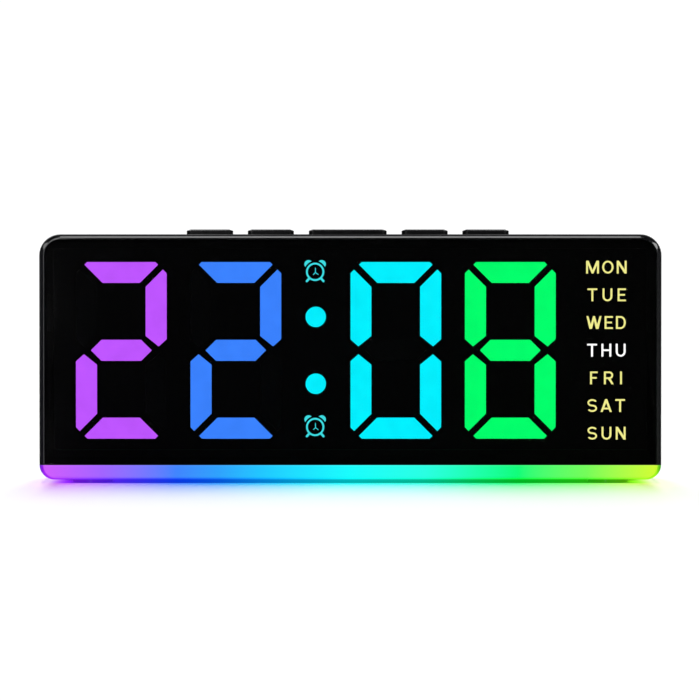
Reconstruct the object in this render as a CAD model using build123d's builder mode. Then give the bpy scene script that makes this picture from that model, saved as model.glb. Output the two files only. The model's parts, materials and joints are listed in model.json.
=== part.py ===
from build123d import *
import os
from math import sqrt

# Digital desk clock: seven-segment display behind a dark lens, five keys on top, glowing base below.
# Origin on the desk under the middle of the clock, +X to the viewer's right, +Y to the back, +Z up.
# All lengths are in millimetres.

# Case
case_width = 165.0
case_depth = 38.0
case_height = 61.0
case_corner_radius = 5.6
wall = 2.0
rear_shell_depth = 8.0
rim_width = 1.3
rim_flat = 0.1
rear_round = 2.0
seam_chamfer = 0.25
inner_corner_radius = 0.8
tongue_length = 1.5
tongue_thickness = 1.0
ledge_width = 2.4
ledge_thickness = 1.5

# Light base and feet
base_height = 4.1
base_corner_radius = 4.0
base_floor = 1.4
base_wall = 2.0
base_end_wall = 4.5
foot_height = 0.9
foot_diameter = 10.6
foot_socket_depth = 0.3
foot_inset_x = 13.8
foot_inset_y = 6.8

# Lens and the layers behind it
lens_recess = 0.2
lens_thickness = 1.8
lens_chamfer = 0.3
tape_thickness = 0.2
film_thickness = 0.15
reflector_gap = 0.4
reflector_margin_low = 4.8
reflector_margin_top = 5.4
filling_depth = 2.5

# Display: segments, dots, symbols and words, and the room around them in the reflector
segment_width = 5.5
segment_gap = 1.9
mitre_shift = 0.25
digit_corner_cut = 3.0
waist_gap = 2.16
middle_inset = 4.0
digit_margin_x = 1.58
digit_margin_z = 1.97
digit_gap = 6.4
colon_gap = 18.45
colon_diameter = 5.35
colon_spread_share = 0.379
symbol_size = 7.6
symbol_margin = 1.0
weekday_count = 7
weekday_width = 11.8
weekday_height = 5.0
weekday_gap = 7.63
weekday_margin_x = 0.5
weekday_margin_z = 0.85

# Points of a side segment, as shares of the segment's width
waist_tip_share = 0.38
outer_shoulder_share = 0.34
inner_shoulder_share = 0.5

# Boards and what stands on them
board_thickness = 1.6
display_board_margin = 0.9
display_board_drop = 3.0
led_width = 3.5
led_depth = 2.8
led_height = 1.9
main_board_width = 44.0
main_board_height = 32.0
main_board_standoff = 6.8
main_board_place_share = 0.28
main_board_rise_share = 0.41
main_board_hole_inset = 3.5
controller_width = 12.8
controller_height = 7.5
controller_thickness = 2.3
crystal_width = 11.0
crystal_height = 4.7
crystal_thickness = 3.5
capacitor_diameter = 6.3
capacitor_height = 7.0
usb_width = 8.94
usb_height = 3.26
usb_shell = 0.31
usb_recess = 0.6
usb_tongue_width = 6.7
usb_tongue_thickness = 0.7
usb_tongue_set_back = 1.0
usb_base_depth = 2.0
usb_drop = 10.0
header_width = 10.0
header_height = 5.0
header_depth = 4.0
display_header_drop = 8.0
ribbon_width = 8.0
ribbon_thickness = 0.6
ribbon_bend = 2.0
ribbon_grip = 1.5

# Places on the main board, as shares of its width and height
controller_shares = (0.09, 0.09)
crystal_shares = (0.18, 0.36)
capacitor_shares = (0.0, -0.28)
display_header_shares = (-0.27, -0.09)
key_header_shares = (-0.18, 0.31)
strip_header_shares = (0.27, -0.19)

# Keys and switches
key_width = 12.3
long_key_width = 20.9
key_depth = 8.0
key_spacing = 4.1
key_row_shift = -0.7
key_rise = 1.37
key_corner_radius = 1.2
key_bevel_width = 1.0
key_bevel_height = 0.35
key_clearance = 0.2
key_travel = 0.5
press_reserve = 0.3
flange_lip = 0.8
flange_thickness = 1.0
key_stem_diameter = 4.0
key_stem_length = 1.2
key_board_width = 12.0
key_board_gap = 1.0
key_board_edge = 0.5
key_board_overhang = 12.5
key_board_thickness = 1.2
switch_size = 6.0
switch_height = 3.5
plunger_diameter = 3.4
plunger_reach = 1.6
dome_thickness = 0.12
dome_rim_share = 0.45

# Light strip in the base
strip_end_inset = 12.5
strip_width = 8.0
strip_thickness = 0.8
strip_setback = 0.5
strip_led_count = 14
strip_led_height = 1.0
strip_peg_diameter = 2.0
strip_peg_rise = 0.5
strip_peg_spread_share = 0.46

# Battery bay and its twist-lock door
cell_diameter = 20.0
cell_thickness = 3.2
bay_x = 0.0
bay_rise_share = 0.51
bay_wall = 1.5
bay_floor = 1.2
door_diameter = 25.0
door_thickness = 2.0
door_clearance = 0.2
door_neck_diameter = 22.6
lug_length_angle = 30.0
lug_thickness = 1.2
lip_thickness = 1.2
notch_margin_angle = 4.0
unlock_angle = 60.0
coin_slot_length = 16.0
coin_slot_width = 2.0
coin_slot_depth = 1.0
contact_thickness = 0.25
contact_width = 4.0
contact_rise = 0.8
contact_span = 12.0
tail_width = 1.5
tail_length = 1.5

# Buzzer and its sound slots
buzzer_diameter = 26.0
buzzer_height = 6.0
buzzer_bore = 6.0
buzzer_bore_depth = 1.5
buzzer_place_share = -0.267
buzzer_rise_share = 0.51
buzzer_collar = 1.2
buzzer_collar_height = 3.0
sound_slot_width = 1.4
sound_slot_count = 6
sound_field_diameter = 21.0

# Screws: case, boards, and base
screw_diameter = 2.3
screw_head_diameter = 4.0
screw_head_height = 1.6
screw_cross_length = 2.4
screw_cross_width = 0.6
screw_cross_depth = 0.8
case_screw_length = 12.0
case_screw_sink = 3.0
case_post_diameter = 5.2
case_post_inset_x = 5.1
case_post_low = 13.0
case_post_high = 8.0
board_screw_length = 6.0
board_post_diameter = 4.6
board_post_low = 23.0
board_post_high = 20.0
base_screw_length = 7.0
base_screw_sink = 2.2
base_post_diameter = 6.0
base_post_height = 8.0
base_post_inset_x = 7.3
base_post_front_inset = 4.5
base_post_rear_inset = 4.5
blind_depth = 0.6

# Fits
slip = 0.15
seat_gap = 0.05
root = 0.5
overrun = 1.0
hair = 0.01

# Levels from the desk up
base_bottom = foot_height
base_top = base_bottom + base_height
case_top = base_top + case_height
reflector_height = case_height - reflector_margin_low - reflector_margin_top
display_z = base_top + reflector_margin_low + reflector_height / 2
top_wall_z = case_top - wall
flange_top_z = top_wall_z - seat_gap
flange_bottom_z = flange_top_z - flange_thickness
plunger_top_z = flange_bottom_z - key_stem_length
switch_top_z = plunger_top_z - key_travel - press_reserve
key_board_top_z = switch_top_z - switch_height
plunger_bottom_z = switch_top_z - plunger_reach
well_floor_z = plunger_bottom_z - key_travel - press_reserve
dome_height = plunger_bottom_z - well_floor_z - seat_gap
base_floor_z = base_bottom + base_floor

# Levels from the viewer to the back
front_y = -case_depth / 2
rear_y = case_depth / 2
front_shell_depth = case_depth - rear_shell_depth
rim_round = rim_width - rim_flat
split_y = front_y + front_shell_depth
rear_wall_y = rear_y - wall
lens_front_y = front_y + lens_recess
lens_rear_y = lens_front_y + lens_thickness
ledge_front_y = lens_rear_y + tape_thickness
ledge_rear_y = ledge_front_y + ledge_thickness
display_board_rear_y = -key_board_width / 2 - key_board_gap
reflector_rear_y = display_board_rear_y - board_thickness
reflector_depth = reflector_rear_y - ledge_front_y
post_end_y = split_y - tongue_length - slip
main_board_rear_y = rear_wall_y - main_board_standoff
main_board_front_y = main_board_rear_y - board_thickness

# Places
case_post_x = case_width / 2 - case_post_inset_x
case_post_places = [
    (side * case_post_x, z)
    for side in (-1, 1)
    for z in (base_top + case_post_low, case_top - case_post_high)
]
board_post_places = [
    (side * case_post_x, z)
    for side in (-1, 1)
    for z in (base_top + board_post_low, case_top - board_post_high)
]
base_post_x = case_width / 2 - base_post_inset_x
base_post_places = [
    (side * base_post_x, y)
    for side in (-1, 1)
    for y in (display_board_rear_y + base_post_front_inset, split_y - base_post_rear_inset)
]
foot_places = [
    (x * (case_width / 2 - foot_inset_x), y * (case_depth / 2 - foot_inset_y))
    for x in (-1, 1)
    for y in (-1, 1)
]
inner_key_x = long_key_width / 2 + key_spacing + key_width / 2
outer_key_x = inner_key_x + key_spacing + key_width
keys = {
    "far_left": (key_row_shift - outer_key_x, key_width),
    "left": (key_row_shift - inner_key_x, key_width),
    "snooze": (key_row_shift, long_key_width),
    "right": (key_row_shift + inner_key_x, key_width),
    "far_right": (key_row_shift + outer_key_x, key_width),
}
key_board_length = 2 * (outer_key_x + key_board_overhang)
key_post_x = outer_key_x + key_width / 2 + flange_lip + board_post_diameter / 2 + key_clearance
key_post_y = key_board_width / 2 - board_post_diameter / 2 - key_board_edge
key_post_places = [(key_row_shift + side * key_post_x, key_post_y) for side in (-1, 1)]
main_board_x = main_board_place_share * case_width
main_board_z = base_top + main_board_rise_share * case_height
main_board_holes = [
    (
        main_board_x + x * (main_board_width / 2 - main_board_hole_inset),
        main_board_z + z * (main_board_height / 2 - main_board_hole_inset),
    )
    for x in (-1, 1)
    for z in (-1, 1)
]
usb_z = main_board_z - usb_drop
bay_z = base_top + bay_rise_share * case_height
buzzer_x = buzzer_place_share * case_width
buzzer_z = base_top + buzzer_rise_share * case_height
reflector_width = 2 * (case_post_x - case_post_diameter / 2 - reflector_gap)
weekday_x = reflector_width / 2 - weekday_margin_x - weekday_width / 2
minute_units_end = weekday_x - weekday_width / 2 - weekday_gap
digits_room = minute_units_end + reflector_width / 2 - digit_margin_x
digit_width = (digits_room - 2 * digit_gap - colon_gap) / 4
digit_height = reflector_height - 2 * digit_margin_z
minute_units_x = minute_units_end - digit_width / 2
minute_tens_x = minute_units_x - digit_width - digit_gap
hour_units_x = minute_tens_x - digit_width - colon_gap
hour_tens_x = hour_units_x - digit_width - digit_gap
zero = ("top", "upper_left", "upper_right", "lower_left", "lower_right", "bottom")
two = ("top", "upper_right", "middle", "lower_left", "bottom")
eight = zero + ("middle",)
digits = {
    "hour_tens": (hour_tens_x, two),
    "hour_units": (hour_units_x, two),
    "minute_tens": (minute_tens_x, zero),
    "minute_units": (minute_units_x, eight),
}
colon_x = (hour_units_x + minute_tens_x) / 2
colon_spacing = colon_spread_share * digit_height
symbol_spacing = reflector_height - symbol_size - 2 * symbol_margin
colon_places = [(colon_x, display_z + side * colon_spacing / 2) for side in (-1, 1)]
symbol_places = [(colon_x, display_z + side * symbol_spacing / 2) for side in (-1, 1)]
weekday_pitch = (reflector_height - 2 * weekday_margin_z - weekday_height) / (weekday_count - 1)
weekday_places = [
    (weekday_x, display_z + (row - (weekday_count - 1) / 2) * weekday_pitch) for row in range(weekday_count)
]

# Bayonet levels of the battery bay, from the back inwards
lip_rear_y = rear_y - door_thickness - seat_gap
lip_front_y = lip_rear_y - lip_thickness
lug_rear_y = lip_front_y - seat_gap
lug_front_y = lug_rear_y - lug_thickness
groove_front_y = lug_front_y - door_clearance
cell_rear_y = groove_front_y - seat_gap
cell_front_y = cell_rear_y - cell_thickness
bay_floor_y = cell_front_y - contact_rise - seat_gap


def facing_front(y):
    """Plane at depth y that looks at the viewer: its X is the clock's X and its Y the clock's Z."""
    return Plane.XZ.offset(-y)


def facing_up(z):
    """Plane at height z that looks up."""
    return Plane.XY.offset(z)


def finish(builder, name):
    """Labels a finished piece and writes it."""
    builder.part.label = name
    export_step(builder.part, f"parts/{name}.step")


def case_outline(inset):
    """Front outline of the case, drawn in by inset at the top and the sides and flat at the bottom."""
    height = case_height - inset
    with Locations((0, base_top + height / 2)):
        Rectangle(case_width - 2 * inset, height)
    fillet(vertices().group_by(Axis.Y)[-1], max(case_corner_radius - inset, inner_corner_radius))


def discs(places, diameter):
    """Circles of one diameter at all the places."""
    with Locations(*places):
        Circle(diameter / 2)


def wall_ribs(places, width):
    """Ribs from the places out to the side walls of the case."""
    reach = case_width / 2 - wall + root
    for x, other in places:
        side = 1 if x > 0 else -1
        with Locations((side * (abs(x) + reach) / 2, other)):
            Rectangle(reach - abs(x), width)


def screws(places, length):
    """Cross-head screws: each place is a plane at the head's seat whose normal points along the shank."""
    with Locations(*places):
        Cylinder(screw_diameter / 2, length, align=(Align.CENTER, Align.CENTER, Align.MIN))
        Cylinder(
            screw_head_diameter / 2, screw_head_height, align=(Align.CENTER, Align.CENTER, Align.MAX)
        )
    for place in places:
        with Locations(place.offset(screw_cross_depth - screw_head_height)):
            for angle in (0, 90):
                Box(
                    screw_cross_length,
                    screw_cross_width,
                    screw_cross_depth + overrun,
                    rotation=(0, 0, angle),
                    align=(Align.CENTER, Align.CENTER, Align.MAX),
                    mode=Mode.SUBTRACT,
                )


def mirrored(points, across, up):
    """A segment's points turned over to another corner of the digit."""
    return [(across * u, up * v) for u, v in points]


def segment_outline(points):
    """One segment about the middle of its digit."""
    with BuildSketch() as outline:
        Polygon(*points)
    return outline.sketch


# The seven segments of a digit, whose corners are cut off straight: a bar, a side and the middle, and their
# mirror images
half_width = digit_width / 2
half_height = digit_height / 2
half_mitre = segment_gap / 2 * sqrt(2)
bar_tip = half_width - mitre_shift - half_mitre
side_tip = half_height + mitre_shift - half_mitre
bar_tip_cut = (digit_corner_cut - half_width + bar_tip) / 2
side_tip_cut = (digit_corner_cut - half_height + side_tip) / 2
inner_edge = half_width - segment_width
waist_tip = waist_gap / 2
bar_points = [
    (digit_corner_cut - half_width, half_height),
    (half_width - digit_corner_cut, half_height),
    (bar_tip - bar_tip_cut, half_height - bar_tip_cut),
    (bar_tip - segment_width, half_height - segment_width),
    (segment_width - bar_tip, half_height - segment_width),
    (bar_tip_cut - bar_tip, half_height - bar_tip_cut),
]
side_points = [
    (half_width - side_tip_cut, side_tip - side_tip_cut),
    (half_width, half_height - digit_corner_cut),
    (half_width, waist_tip + outer_shoulder_share * segment_width),
    (half_width - waist_tip_share * segment_width, waist_tip),
    (inner_edge, waist_tip + inner_shoulder_share * segment_width),
    (inner_edge, side_tip - segment_width),
]
middle_length = digit_width - 2 * middle_inset
middle_shoulder = (middle_length - segment_width) / 2
middle_points = [
    (-middle_length / 2, 0),
    (-middle_shoulder, segment_width / 2),
    (middle_shoulder, segment_width / 2),
    (middle_length / 2, 0),
    (middle_shoulder, -segment_width / 2),
    (-middle_shoulder, -segment_width / 2),
]
segments = {
    "top": segment_outline(bar_points),
    "upper_left": segment_outline(mirrored(side_points, -1, 1)),
    "upper_right": segment_outline(side_points),
    "middle": segment_outline(middle_points),
    "lower_left": segment_outline(mirrored(side_points, -1, -1)),
    "lower_right": segment_outline(mirrored(side_points, 1, -1)),
    "bottom": segment_outline(mirrored(bar_points, 1, -1)),
}
bar_middle = half_height - segment_width / 2
side_middle_x = half_width - segment_width / 2
segment_middles = [(0, bar_middle), (0, 0), (0, -bar_middle)]
segment_middles += [(x * side_middle_x, z * half_height / 2) for x in (-1, 1) for z in (-1, 1)]


def digit_outlines(x, names):
    """The named segments of the digit whose middle stands at x."""
    with Locations((x, display_z)):
        for name in names:
            add(segments[name])


def lit_windows():
    """Openings for every digit and for the colon, a hair wider than what fills them."""
    for x, lit in digits.values():
        digit_outlines(x, segments)
    discs(colon_places, colon_diameter)
    offset(amount=seat_gap, kind=Kind.INTERSECTION)


def legend_cells(gap):
    """Cells behind the alarm symbols and the weekday words."""
    with Locations(*symbol_places):
        Rectangle(symbol_size + 2 * gap, symbol_size + 2 * gap)
    with Locations(*weekday_places):
        Rectangle(weekday_width + 2 * gap, weekday_height + 2 * gap)


os.makedirs("parts", exist_ok=True)

# Front shell of the case
with BuildPart() as main_case:
    with BuildSketch(facing_front(split_y)):
        case_outline(0)
    extrude(amount=front_shell_depth)
    front_edges = main_case.faces().sort_by(Axis.Y)[0].edges()
    fillet(front_edges.filter_by(lambda edge: edge.center().Z > base_top + hair), rim_round)
    rear_edges = main_case.faces().sort_by(Axis.Y)[-1].edges()
    chamfer(rear_edges.filter_by(lambda edge: edge.center().Z > base_top + hair), seam_chamfer)
    with BuildSketch(facing_front(split_y)):
        case_outline(wall)
    extrude(amount=split_y - ledge_rear_y, mode=Mode.SUBTRACT)
    with BuildSketch(facing_front(ledge_front_y)):
        case_outline(rim_width)
    extrude(amount=ledge_front_y - front_y + overrun, mode=Mode.SUBTRACT)
    with BuildSketch(facing_front(ledge_rear_y)):
        case_outline(rim_width + ledge_width)
        with Locations((0, base_top + ledge_width / 2)):
            Rectangle(case_width, ledge_width, mode=Mode.SUBTRACT)
    extrude(amount=ledge_thickness + overrun, mode=Mode.SUBTRACT)
    # openings for the keys
    with BuildSketch(facing_up(top_wall_z)):
        for x, width in keys.values():
            with Locations((x, 0)):
                RectangleRounded(
                    width + 2 * key_clearance,
                    key_depth + 2 * key_clearance,
                    key_corner_radius + key_clearance,
                )
    extrude(amount=wall + overrun, mode=Mode.SUBTRACT)
    # posts for the rear cover, the display board, the key board and the base
    with BuildSketch(facing_front(post_end_y)):
        discs(case_post_places, case_post_diameter)
        wall_ribs(case_post_places, case_post_diameter / 2)
    extrude(amount=post_end_y - ledge_rear_y)
    with BuildSketch(facing_front(reflector_rear_y)):
        discs(board_post_places, board_post_diameter)
        wall_ribs(board_post_places, board_post_diameter / 2)
    extrude(amount=reflector_rear_y - ledge_rear_y)
    with BuildSketch(facing_up(key_board_top_z)):
        discs(key_post_places, board_post_diameter)
    extrude(amount=top_wall_z - key_board_top_z + root)
    with BuildSketch(facing_up(base_top)):
        discs(base_post_places, base_post_diameter)
        wall_ribs(base_post_places, base_post_diameter / 2)
    extrude(amount=base_post_height)
    # screw holes in the posts
    with BuildSketch(facing_front(post_end_y)):
        discs(case_post_places, screw_diameter + 2 * seat_gap)
    case_hole_depth = post_end_y - rear_y + case_screw_sink + case_screw_length + blind_depth
    extrude(amount=case_hole_depth, mode=Mode.SUBTRACT)
    with BuildSketch(facing_front(reflector_rear_y)):
        discs(board_post_places, screw_diameter + 2 * seat_gap)
    extrude(amount=board_screw_length - board_thickness + blind_depth, mode=Mode.SUBTRACT)
    with BuildSketch(facing_up(key_board_top_z)):
        discs(key_post_places, screw_diameter + 2 * seat_gap)
    extrude(amount=board_screw_length - key_board_thickness + blind_depth, mode=Mode.SUBTRACT)
    with BuildSketch(facing_up(base_top)):
        discs(base_post_places, screw_diameter + 2 * seat_gap)
    extrude(amount=base_screw_length - base_height + base_screw_sink + blind_depth, mode=Mode.SUBTRACT)
finish(main_case, "main_case")

# Dark lens over the whole front
with BuildPart() as front_lens:
    with BuildSketch(facing_front(lens_rear_y)):
        case_outline(rim_width + slip)
    extrude(amount=lens_thickness)
    lens_edges = front_lens.faces().sort_by(Axis.Y)[0].edges()
    chamfer(lens_edges.filter_by(lambda edge: edge.center().Z > base_top + hair), lens_chamfer)
finish(front_lens, "front_lens")

# Adhesive frame between the lens and the ledge
with BuildPart() as lens_tape:
    with BuildSketch(facing_front(ledge_front_y)):
        case_outline(rim_width + slip)
        with Locations((0, base_top + case_height / 2)):
            Rectangle(
                case_width - 2 * (rim_width + ledge_width),
                case_height - 2 * (rim_width + ledge_width),
                mode=Mode.SUBTRACT,
            )
    extrude(amount=tape_thickness)
finish(lens_tape, "lens_tape")

# Black film with a window for every segment
with BuildPart() as segment_mask:
    with BuildSketch(facing_front(ledge_front_y)):
        with Locations((0, base_top + case_height / 2)):
            Rectangle(
                case_width - 2 * (rim_width + ledge_width + slip),
                case_height - 2 * (rim_width + ledge_width + slip),
            )
    extrude(amount=film_thickness)
    with BuildSketch(facing_front(ledge_front_y)):
        lit_windows()
    extrude(amount=film_thickness, mode=Mode.SUBTRACT)
finish(segment_mask, "segment_mask")

# White frame with a light cell for every segment and legend
with BuildPart() as reflector_frame:
    with BuildSketch(facing_front(reflector_rear_y)):
        with Locations((0, display_z)):
            Rectangle(reflector_width, reflector_height)
    extrude(amount=reflector_depth)
    with BuildSketch(facing_front(reflector_rear_y)):
        lit_windows()
        legend_cells(seat_gap)
    extrude(amount=reflector_depth, mode=Mode.SUBTRACT)
finish(reflector_frame, "reflector_frame")

# Milky fillings of the segments that are lit, digit by digit, and of those that are dark at this time
for name, (x, lit) in digits.items():
    with BuildPart() as lit_filling:
        with BuildSketch(facing_front(ledge_front_y + filling_depth)):
            digit_outlines(x, lit)
        extrude(amount=filling_depth + film_thickness)
    finish(lit_filling, f"{name}_segments")

with BuildPart() as unlit_segments:
    with BuildSketch(facing_front(ledge_front_y + filling_depth)):
        for x, lit in digits.values():
            digit_outlines(x, [name for name in segments if name not in lit])
    extrude(amount=filling_depth + film_thickness)
finish(unlit_segments, "unlit_segments")

with BuildPart() as colon_dots:
    with BuildSketch(facing_front(ledge_front_y + filling_depth)):
        discs(colon_places, colon_diameter)
    extrude(amount=filling_depth + film_thickness)
finish(colon_dots, "colon_dots")

# Milky fillings behind the film, under the alarm symbols and the weekday words
with BuildPart() as alarm_diffusers:
    with BuildSketch(facing_front(ledge_front_y + filling_depth)):
        with Locations(*symbol_places):
            Rectangle(symbol_size, symbol_size)
    extrude(amount=filling_depth)
finish(alarm_diffusers, "alarm_diffusers")

with BuildPart() as weekday_diffusers:
    with BuildSketch(facing_front(ledge_front_y + filling_depth)):
        with Locations(*weekday_places):
            Rectangle(weekday_width, weekday_height)
    extrude(amount=filling_depth)
finish(weekday_diffusers, "weekday_diffusers")

# Display board, notched around the posts of the rear cover
display_board_half = case_width / 2 - wall - display_board_margin
display_board_low = base_top + ledge_width + display_board_margin
display_board_high = top_wall_z - display_board_drop
with BuildPart() as display_board:
    with BuildSketch(facing_front(display_board_rear_y)):
        with Locations((0, (display_board_low + display_board_high) / 2)):
            Rectangle(2 * display_board_half, display_board_high - display_board_low)
        notch_width = case_post_diameter + 2 * key_clearance
        for x, z in case_post_places:
            side = 1 if x > 0 else -1
            with Locations((x + side * case_post_inset_x / 2, z)):
                Rectangle(case_post_inset_x + notch_width, notch_width, mode=Mode.SUBTRACT)
        with Locations(*board_post_places):
            Circle(screw_diameter / 2 + slip, mode=Mode.SUBTRACT)
    extrude(amount=board_thickness)
finish(display_board, "display_board")

# One light source in every cell
with BuildPart() as display_leds:
    with BuildSketch(facing_front(reflector_rear_y)):
        for x, lit in digits.values():
            with Locations(*[(x + u, display_z + v) for u, v in segment_middles]):
                Rectangle(led_width, led_depth)
        with Locations(*colon_places, *symbol_places, *weekday_places):
            Rectangle(led_width, led_depth)
    extrude(amount=led_height)
finish(display_leds, "display_leds")

with BuildPart() as display_board_screws:
    screws(
        [Plane((x, display_board_rear_y, z), z_dir=(0, -1, 0)) for x, z in board_post_places],
        board_screw_length,
    )
finish(display_board_screws, "display_board_screws")

# Rear cover: its walls end in a tongue that reaches into the front shell
bay_place = (bay_x, bay_z)
bay_radius = door_diameter / 2 + door_clearance
tail_slot_width = tail_width + 2 * slip
tail_slot_thickness = contact_thickness + 2 * slip
negative_tail_z = bay_z - contact_span / 2 + contact_thickness
positive_contact_x = bay_x + cell_diameter / 2 + seat_gap + contact_thickness / 2
sound_slot_pitch = sound_field_diameter / (sound_slot_count + 1)


def bay_cut(diameter, from_y, to_y):
    """A round cut of the battery bay between two depths."""
    with BuildSketch(facing_front(from_y)) as round_cut:
        discs([bay_place], diameter)
    extrude(round_cut.sketch, amount=from_y - to_y, mode=Mode.SUBTRACT)


def bay_sectors(radius, middle_angle, span_angle):
    """Two opposite slices of a disc about the middle of the battery bay."""
    for turn in (0, 180):
        with BuildLine() as slice_edges:
            arc = CenterArc(bay_place, radius, middle_angle + turn - span_angle / 2, span_angle)
            Line(bay_place, arc @ 0)
            Line(arc @ 1, bay_place)
        make_face(slice_edges.edges())


with BuildPart() as rear_cover:
    with BuildSketch(facing_front(rear_y)):
        case_outline(0)
    extrude(amount=rear_y - split_y)
    back_edges = rear_cover.faces().sort_by(Axis.Y)[-1].edges()
    fillet(back_edges.filter_by(lambda edge: edge.center().Z > base_top + hair), rear_round)
    seam_edges = rear_cover.faces().sort_by(Axis.Y)[0].edges()
    chamfer(seam_edges.filter_by(lambda edge: edge.center().Z > base_top + hair), seam_chamfer)
    with BuildSketch(facing_front(split_y)):
        case_outline(wall + slip)
    extrude(amount=tongue_length)
    with BuildSketch(facing_front(rear_wall_y)):
        case_outline(wall + slip + tongue_thickness)
    extrude(amount=rear_wall_y - split_y + tongue_length, mode=Mode.SUBTRACT)
    # posts for the case screws and the main board, collar of the buzzer
    with BuildSketch(facing_front(rear_wall_y)):
        discs(case_post_places, case_post_diameter)
    extrude(amount=rear_wall_y - post_end_y)
    with BuildSketch(facing_front(rear_wall_y)):
        discs(main_board_holes, board_post_diameter)
    extrude(amount=main_board_standoff)
    with BuildSketch(facing_front(rear_wall_y)):
        with Locations((buzzer_x, buzzer_z)):
            Circle(buzzer_diameter / 2 + slip + buzzer_collar)
            Circle(buzzer_diameter / 2 + slip, mode=Mode.SUBTRACT)
    extrude(amount=buzzer_collar_height)
    # battery bay: door seat, bayonet lip, lug groove, cell pocket
    with BuildSketch(facing_front(rear_wall_y)):
        discs([bay_place], 2 * (bay_radius + bay_wall))
    extrude(amount=rear_wall_y - bay_floor_y + bay_floor)
    bay_cut(2 * bay_radius, rear_y, lip_rear_y)
    bay_cut(door_neck_diameter + 2 * door_clearance, lip_rear_y, lip_front_y)
    bay_cut(2 * bay_radius, lip_front_y, groove_front_y)
    bay_cut(cell_diameter + 2 * door_clearance, groove_front_y, bay_floor_y)
    with BuildSketch(facing_front(lip_rear_y)):
        bay_sectors(bay_radius, -unlock_angle, lug_length_angle + 2 * notch_margin_angle)
    extrude(amount=lip_thickness, mode=Mode.SUBTRACT)
    with BuildSketch(facing_front(groove_front_y)):
        with Locations((positive_contact_x, bay_z)):
            Rectangle(contact_thickness + 2 * door_clearance, contact_width + 2 * slip)
    extrude(amount=groove_front_y - bay_floor_y, mode=Mode.SUBTRACT)
    with BuildSketch(facing_front(bay_floor_y)):
        with Locations((bay_x, negative_tail_z)):
            Rectangle(tail_slot_width, tail_slot_thickness)
        with Locations((positive_contact_x, bay_z)):
            Rectangle(tail_slot_thickness, tail_slot_width)
    extrude(amount=bay_floor + overrun, mode=Mode.SUBTRACT)
    # power inlet, sound slots and screw holes
    with BuildSketch(facing_front(rear_y)):
        with Locations((main_board_x, usb_z)):
            SlotOverall(usb_width + 2 * slip, usb_height + 2 * slip)
        for row in range(sound_slot_count):
            height = (row - (sound_slot_count - 1) / 2) * sound_slot_pitch
            with Locations((buzzer_x, buzzer_z + height)):
                SlotOverall(2 * sqrt((sound_field_diameter / 2) ** 2 - height**2), sound_slot_width)
    extrude(amount=wall, mode=Mode.SUBTRACT)
    with BuildSketch(facing_front(rear_y)):
        discs(case_post_places, screw_head_diameter + 2 * slip)
    extrude(amount=case_screw_sink, mode=Mode.SUBTRACT)
    with BuildSketch(facing_front(rear_y)):
        discs(case_post_places, screw_diameter + 2 * slip)
    extrude(amount=rear_y - post_end_y, mode=Mode.SUBTRACT)
    with BuildSketch(facing_front(main_board_rear_y)):
        discs(main_board_holes, screw_diameter + 2 * seat_gap)
    extrude(amount=board_thickness - board_screw_length - blind_depth, mode=Mode.SUBTRACT)
finish(rear_cover, "rear_cover")

with BuildPart() as case_screws:
    screws(
        [Plane((x, rear_y - case_screw_sink, z), z_dir=(0, -1, 0)) for x, z in case_post_places],
        case_screw_length,
    )
finish(case_screws, "case_screws")

# Round battery door with two lugs and a coin slot
with BuildPart() as battery_door:
    with BuildSketch(facing_front(rear_y)):
        discs([bay_place], door_diameter)
    extrude(amount=door_thickness)
    with BuildSketch(facing_front(rear_y)):
        discs([bay_place], door_neck_diameter)
    extrude(amount=rear_y - lug_front_y)
    with BuildSketch(facing_front(lug_rear_y)):
        bay_sectors(door_diameter / 2, 0, lug_length_angle)
    extrude(amount=lug_thickness)
    with BuildSketch(facing_front(rear_y)):
        with Locations(bay_place):
            SlotOverall(coin_slot_length, coin_slot_width)
    extrude(amount=coin_slot_depth, mode=Mode.SUBTRACT)
finish(battery_door, "battery_door")

with BuildPart() as coin_cell:
    with BuildSketch(facing_front(cell_rear_y)):
        discs([bay_place], cell_diameter)
    extrude(amount=cell_thickness)
finish(coin_cell, "coin_cell")

# Arched spring under the cell, with a tail through the bay's floor
with BuildPart() as negative_contact:
    with BuildSketch(Plane.YZ.offset(bay_x - contact_width / 2)):
        with BuildLine():
            crest_y = bay_floor_y + contact_rise
            half_span = contact_span / 2
            foot = 2 * contact_thickness
            ThreePointArc(
                (bay_floor_y, bay_z - half_span),
                (crest_y, bay_z),
                (bay_floor_y, bay_z + half_span),
            )
            Line((bay_floor_y, bay_z + half_span), (bay_floor_y, bay_z + half_span - foot))
            ThreePointArc(
                (bay_floor_y, bay_z + half_span - foot),
                (crest_y - contact_thickness, bay_z),
                (bay_floor_y, bay_z - half_span + foot),
            )
            Line((bay_floor_y, bay_z - half_span + foot), (bay_floor_y, bay_z - half_span))
        make_face()
    extrude(amount=contact_width)
    with BuildSketch(facing_front(bay_floor_y)):
        with Locations((bay_x, negative_tail_z)):
            Rectangle(tail_width, contact_thickness)
    extrude(amount=bay_floor + tail_length)
finish(negative_contact, "negative_contact")

# Flat blade beside the cell, with a tail through the bay's floor
with BuildPart() as positive_contact:
    with BuildSketch(facing_front(cell_rear_y)):
        with Locations((positive_contact_x, bay_z)):
            Rectangle(contact_thickness, contact_width)
    extrude(amount=cell_rear_y - bay_floor_y)
    with BuildSketch(facing_front(bay_floor_y)):
        with Locations((positive_contact_x, bay_z)):
            Rectangle(contact_thickness, tail_width)
    extrude(amount=bay_floor + tail_length)
finish(positive_contact, "positive_contact")

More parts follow.
